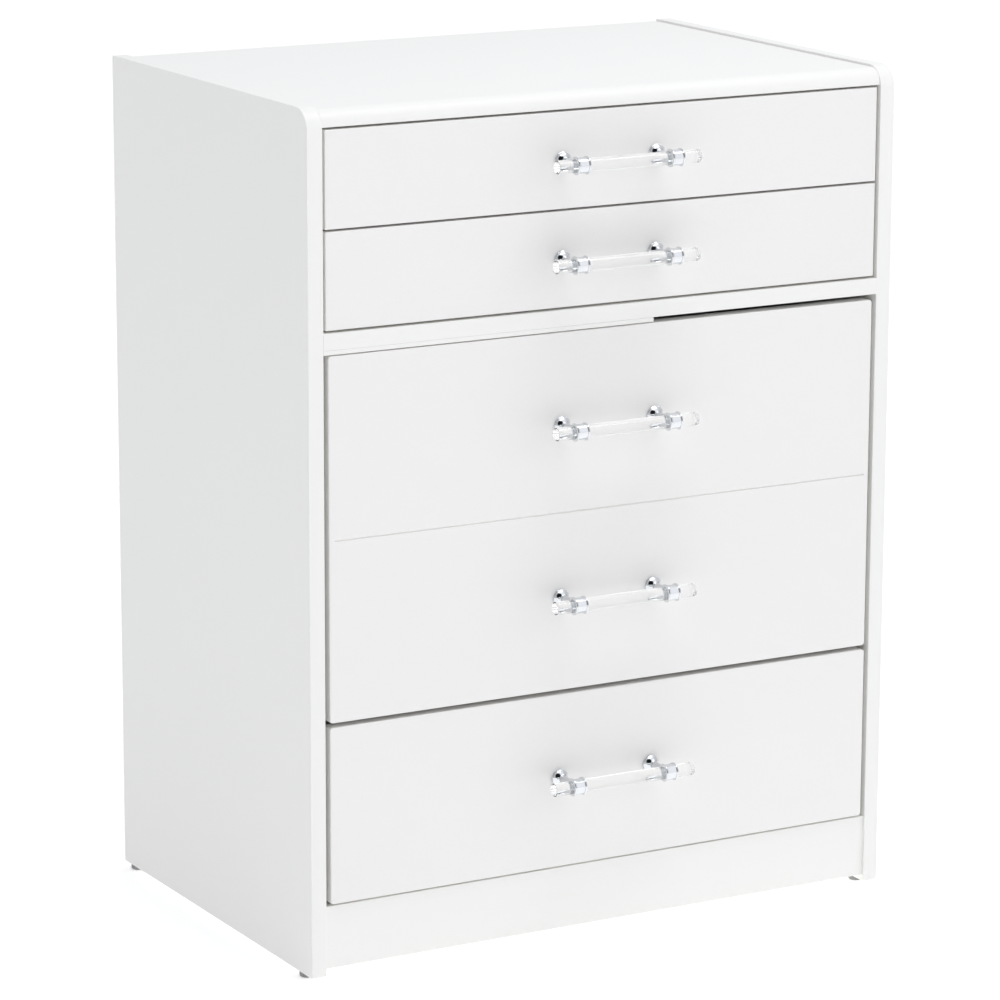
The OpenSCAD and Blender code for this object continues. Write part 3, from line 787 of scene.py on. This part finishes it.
def crossHeadScrew(size, length, tip=0.0):
    # Seated at height 0 with its head above and its shank pointing down; tip is its point's length in mm
    radius, height, shank = size["headRadius"], size["headHeight"], size["shankRadius"]
    end = [(shank * tipShare, -length), (shank, -length + tip)] if tip else [(shank, -length)]
    head = [(radius * out, height * up) for out, up in panHead]
    outline = [(0, -length)] + end + [(shank, 0), (radius, 0)] + head + [(0, height)]
    screw = bmesh.new()
    addLathed(screw, outline, size["segments"], Matrix.Identity(4), 0)
    return carve(screw, crossCutter(size["slotWidth"], size["slotSpan"], height, size["slotDepth"]))


def makePullScrews(drawer):
    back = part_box(drawer + "_front")[1].y
    low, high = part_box(drawer + "_pull_screws")
    radius = pullScrew["headRadius"] * mm
    inward = Matrix.Rotation(-math.pi / 2, 4, "X")      # turns Z to point into the drawer
    one = crossHeadScrew(pullScrew, (back - low.y) / mm)
    screws = bmesh.new()
    for z in pullHeights(low, high, radius):
        for x in (low.x + radius, high.x - radius):
            addCopy(screws, one, Matrix.Translation((x, back, z)) @ inward)
    one.free()
    placePiece(drawer + "_pull_screws_crossed", screws, "zinc_steel", drawer, [drawer + "_pull_screws"])


rails = {                       # mm
    "steel": 1.2,               # thickness of the pressed steel
    "bend": 0.5,                # rounding of each bend
    "shortestBend": 20.0,       # shorter edges are cut ends, which stay sharp
    "lengthways": 0.999,        # cosine to the rail's length, past which an edge counts as a bend
    "screwEnd": 37.0,           # from a rail's ends to its outer screws
}


def isBend(edge):
    run = edge.verts[0].co - edge.verts[1].co
    return (isSharp(edge) and abs(run.normalized().y) > rails["lengthways"]
            and edge.calc_length() > rails["shortestBend"] * mm)


def pressedRails(node):
    shape = mergedCopy(node)
    roundEdges(shape, [edge for edge in shape.edges if isBend(edge)], rails["bend"] * mm)
    placePiece(node + "_pressed", shape, "zinc_steel", bodyOf[node], [node])


def screwPlaces(drawer):
    low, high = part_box(drawer + "_rails")
    run = (low.y + rails["screwEnd"] * mm, (low.y + high.y) / 2, high.y - rails["screwEnd"] * mm)
    return [(y, (low.z + high.z) / 2) for y in run]


def makeRailScrews():
    one = crossHeadScrew(runnerScrew, runnerScrew["shankLength"], runnerScrew["tip"])
    onCabinet = bmesh.new()
    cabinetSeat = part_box("small_cabinet_rails")[1].x - rails["steel"] * mm
    for drawer in drawerNames:
        onDrawer = bmesh.new()
        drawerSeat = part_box(drawer + "_right_side")[1].x + rails["steel"] * mm
        for y, z in screwPlaces(drawer):
            for side in (-1, 1):
                headsIn = Matrix.Rotation(-side * math.pi / 2, 4, "Y")
                addCopy(onCabinet, one, Matrix.Translation((side * cabinetSeat, y, z)) @ headsIn)
                headsOut = Matrix.Rotation(side * math.pi / 2, 4, "Y")
                addCopy(onDrawer, one, Matrix.Translation((side * drawerSeat, y, z)) @ headsOut)
        placePiece(drawer + "_rail_screws_crossed", onDrawer, "zinc_steel", drawer, [drawer + "_rail_screws"])
    placePiece("cabinet_rail_screws_crossed", onCabinet, "zinc_steel", "cabinet", ["cabinet_rail_screws"])
    one.free()


for drawer in drawerNames:
    makePullScrews(drawer)
    pressedRails(drawer + "_rails")
for node in ("small_cabinet_rails", "big_cabinet_rails",
             "deep_drawer_middle_rails", "bottom_drawer_middle_rails"):
    pressedRails(node)
makeRailScrews()
print("runners pressed and screwed")

cam = {                         # mm
    "radius": 7.45, "height": 12.4, "chamfer": 0.4,
    "mouthRadius": 4.0,         # of the hole that takes the cam bolt's head
    "mouthPast": 3.0,           # how far that hole runs past the middle
    "mouthOver": 1.0,           # and how far its cutter stands out of the rim
    "boltAbove": 7.5,           # from the board's underside to the cam bolt's axis
    "slotWidth": 2.0, "slotSpan": 8.0, "slotDepth": 2.5, "segments": 48,
}


def makeCams():
    outline = [(0, 0), (cam["radius"], 0), (cam["radius"], cam["height"]), (0, cam["height"])]
    disc = bmesh.new()
    addLathed(disc, outline, cam["segments"], Matrix.Identity(4), cam["chamfer"])
    slotted = carve(disc, crossCutter(cam["slotWidth"], cam["slotSpan"], 0, cam["slotDepth"]))
    wide, past, reach = cam["mouthRadius"], cam["mouthPast"], cam["radius"] + cam["mouthOver"]
    towardBolt = Matrix.Translation((0, 0, cam["boltAbove"] * mm)) @ Matrix.Rotation(math.pi / 2, 4, "Y")
    mouth = bmesh.new()
    addLathed(mouth, [(0, -past), (wide, -past), (wide, reach), (0, reach)], cam["segments"], towardBolt, 0)
    one = carve(slotted, mouth)
    low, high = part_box("cam_locks")
    radius = cam["radius"] * mm
    halfTurn = Matrix.Rotation(math.pi, 4, "Z")
    cams = bmesh.new()
    for board in ("top_panel", "fixed_shelf", "bottom_panel"):
        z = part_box(board)[0].z
        for y in (low.y + radius, high.y - radius):
            addCopy(cams, one, Matrix.Translation((high.x - radius, y, z)))
            addCopy(cams, one, Matrix.Translation((low.x + radius, y, z)) @ halfTurn)
    one.free()
    placePiece("cam_locks_slotted", cams, "zinc_steel", "cabinet", ["cam_locks"], camFinish)


glide = {                       # mm
    "soleRadius": 6.0, "radius": 7.0, "chamfer": 1.0, "height": 5.0, "stemRadius": 3.0, "rounding": 0.3,
    "segments": 48,
}


def makeGlides():
    low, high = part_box("foot_glides")
    top = (high.z - low.z) / mm
    outline = [(0, 0), (glide["soleRadius"], 0), (glide["radius"], glide["chamfer"]),
               (glide["radius"], glide["height"]), (glide["stemRadius"], glide["height"]),
               (glide["stemRadius"], top), (0, top)]
    glides = bmesh.new()
    radius = glide["radius"] * mm
    for x in (low.x + radius, high.x - radius):
        for y in (low.y + radius, high.y - radius):
            place = Matrix.Translation((x, y, low.z))
            addLathed(glides, outline, glide["segments"], place, glide["rounding"])
    placePiece("foot_glides_moulded", glides, "grey_plastic", "cabinet", ["foot_glides"])


makeCams()
makeGlides()
for node, slot in (("cam_bolts", "zinc_steel"), ("wood_dowels", "beech")):
    for holder in nodes[node].material_slots:
        holder.material = finishes[slot]
print("cam locks, glides, bolts and dowels done")
